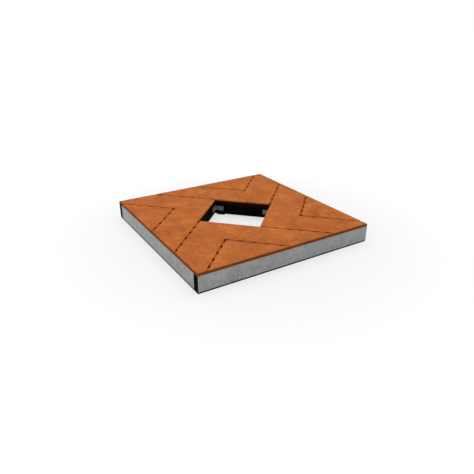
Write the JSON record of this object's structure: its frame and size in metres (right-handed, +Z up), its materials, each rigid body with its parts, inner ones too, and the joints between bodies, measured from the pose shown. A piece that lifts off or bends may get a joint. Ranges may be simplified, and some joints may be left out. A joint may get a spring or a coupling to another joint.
{
  "type": "tree grate",
  "caption": "Square tree grate: rust-coloured weathering-steel plates in a pinwheel round a diamond tree opening, on a galvanised channel frame.",
  "frame": {"origin": "centre of the square footprint, on the ground", "axes": "+Z up; +X and +Y square to the sides; -Y is the long rail towards the picture's lower right"},
  "size_m": [1.5, 1.5, 0.152],
  "materials": {
    "corten": "matte",
    "galvanised": "matte",
    "black_steel": "matte",
    "zinc": "satin",
    "rubber": "matte",
    "black_plastic": "matte"
  },
  "bodies": {
    "frame": {"rail_front": "galvanised", "rail_right": "galvanised", "rail_back": "galvanised", "rail_left": "galvanised", "end_caps": "black_plastic", "corner_gussets": "galvanised", "main_beam_back": "black_steel", "main_beam_left": "black_steel", "main_beam_front": "black_steel", "main_beam_right": "black_steel", "ledge_angle_back": "black_steel", "ledge_angle_left": "black_steel", "ledge_angle_front": "black_steel", "ledge_angle_right": "black_steel", "long_bearer_back": "black_steel", "long_bearer_left": "black_steel", "long_bearer_front": "black_steel", "long_bearer_right": "black_steel", "short_bearer_back": "black_steel", "short_bearer_left": "black_steel", "short_bearer_front": "black_steel", "short_bearer_right": "black_steel", "beam_end_plates": "black_steel", "corner_cleats": "zinc", "cleat_bolts": "zinc", "cleat_nuts": "zinc", "ledge_bolts": "zinc", "ledge_nuts": "zinc", "ground_strips": "rubber", "ground_pads": "rubber", "bearing_pads_back": "rubber", "bearing_pads_left": "rubber", "bearing_pads_front": "rubber", "bearing_pads_right": "rubber"},
    "chevron_back": {"chevron_plate_back": "corten", "chevron_spacers_back": "corten", "chevron_lugs_back": "corten"},
    "triangle_back": {"triangle_plate_back": "corten", "triangle_spacers_back": "corten", "triangle_lugs_back": "corten"},
    "chevron_left": {"chevron_plate_left": "corten", "chevron_spacers_left": "corten", "chevron_lugs_left": "corten"},
    "triangle_left": {"triangle_plate_left": "corten", "triangle_spacers_left": "corten", "triangle_lugs_left": "corten"},
    "chevron_front": {"chevron_plate_front": "corten", "chevron_spacers_front": "corten", "chevron_lugs_front": "corten"},
    "triangle_front": {"triangle_plate_front": "corten", "triangle_spacers_front": "corten", "triangle_lugs_front": "corten"},
    "chevron_right": {"chevron_plate_right": "corten", "chevron_spacers_right": "corten", "chevron_lugs_right": "corten"},
    "triangle_right": {"triangle_plate_right": "corten", "triangle_spacers_right": "corten", "triangle_lugs_right": "corten"}
  },
  "joints": [
    {"name": "chevron_back_lift", "type": "slide", "parent": "frame", "child": "chevron_back", "axis": [0, 0, 1], "range_m": [0, 0.2]},
    {"name": "triangle_back_lift", "type": "slide", "parent": "frame", "child": "triangle_back", "axis": [0, 0, 1], "range_m": [0, 0.2]},
    {"name": "chevron_left_lift", "type": "slide", "parent": "frame", "child": "chevron_left", "axis": [0, 0, 1], "range_m": [0, 0.2]},
    {"name": "triangle_left_lift", "type": "slide", "parent": "frame", "child": "triangle_left", "axis": [0, 0, 1], "range_m": [0, 0.2]},
    {"name": "chevron_front_lift", "type": "slide", "parent": "frame", "child": "chevron_front", "axis": [0, 0, 1], "range_m": [0, 0.2]},
    {"name": "triangle_front_lift", "type": "slide", "parent": "frame", "child": "triangle_front", "axis": [0, 0, 1], "range_m": [0, 0.2]},
    {"name": "chevron_right_lift", "type": "slide", "parent": "frame", "child": "chevron_right", "axis": [0, 0, 1], "range_m": [0, 0.2]},
    {"name": "triangle_right_lift", "type": "slide", "parent": "frame", "child": "triangle_right", "axis": [0, 0, 1], "range_m": [0, 0.2]}
  ]
}
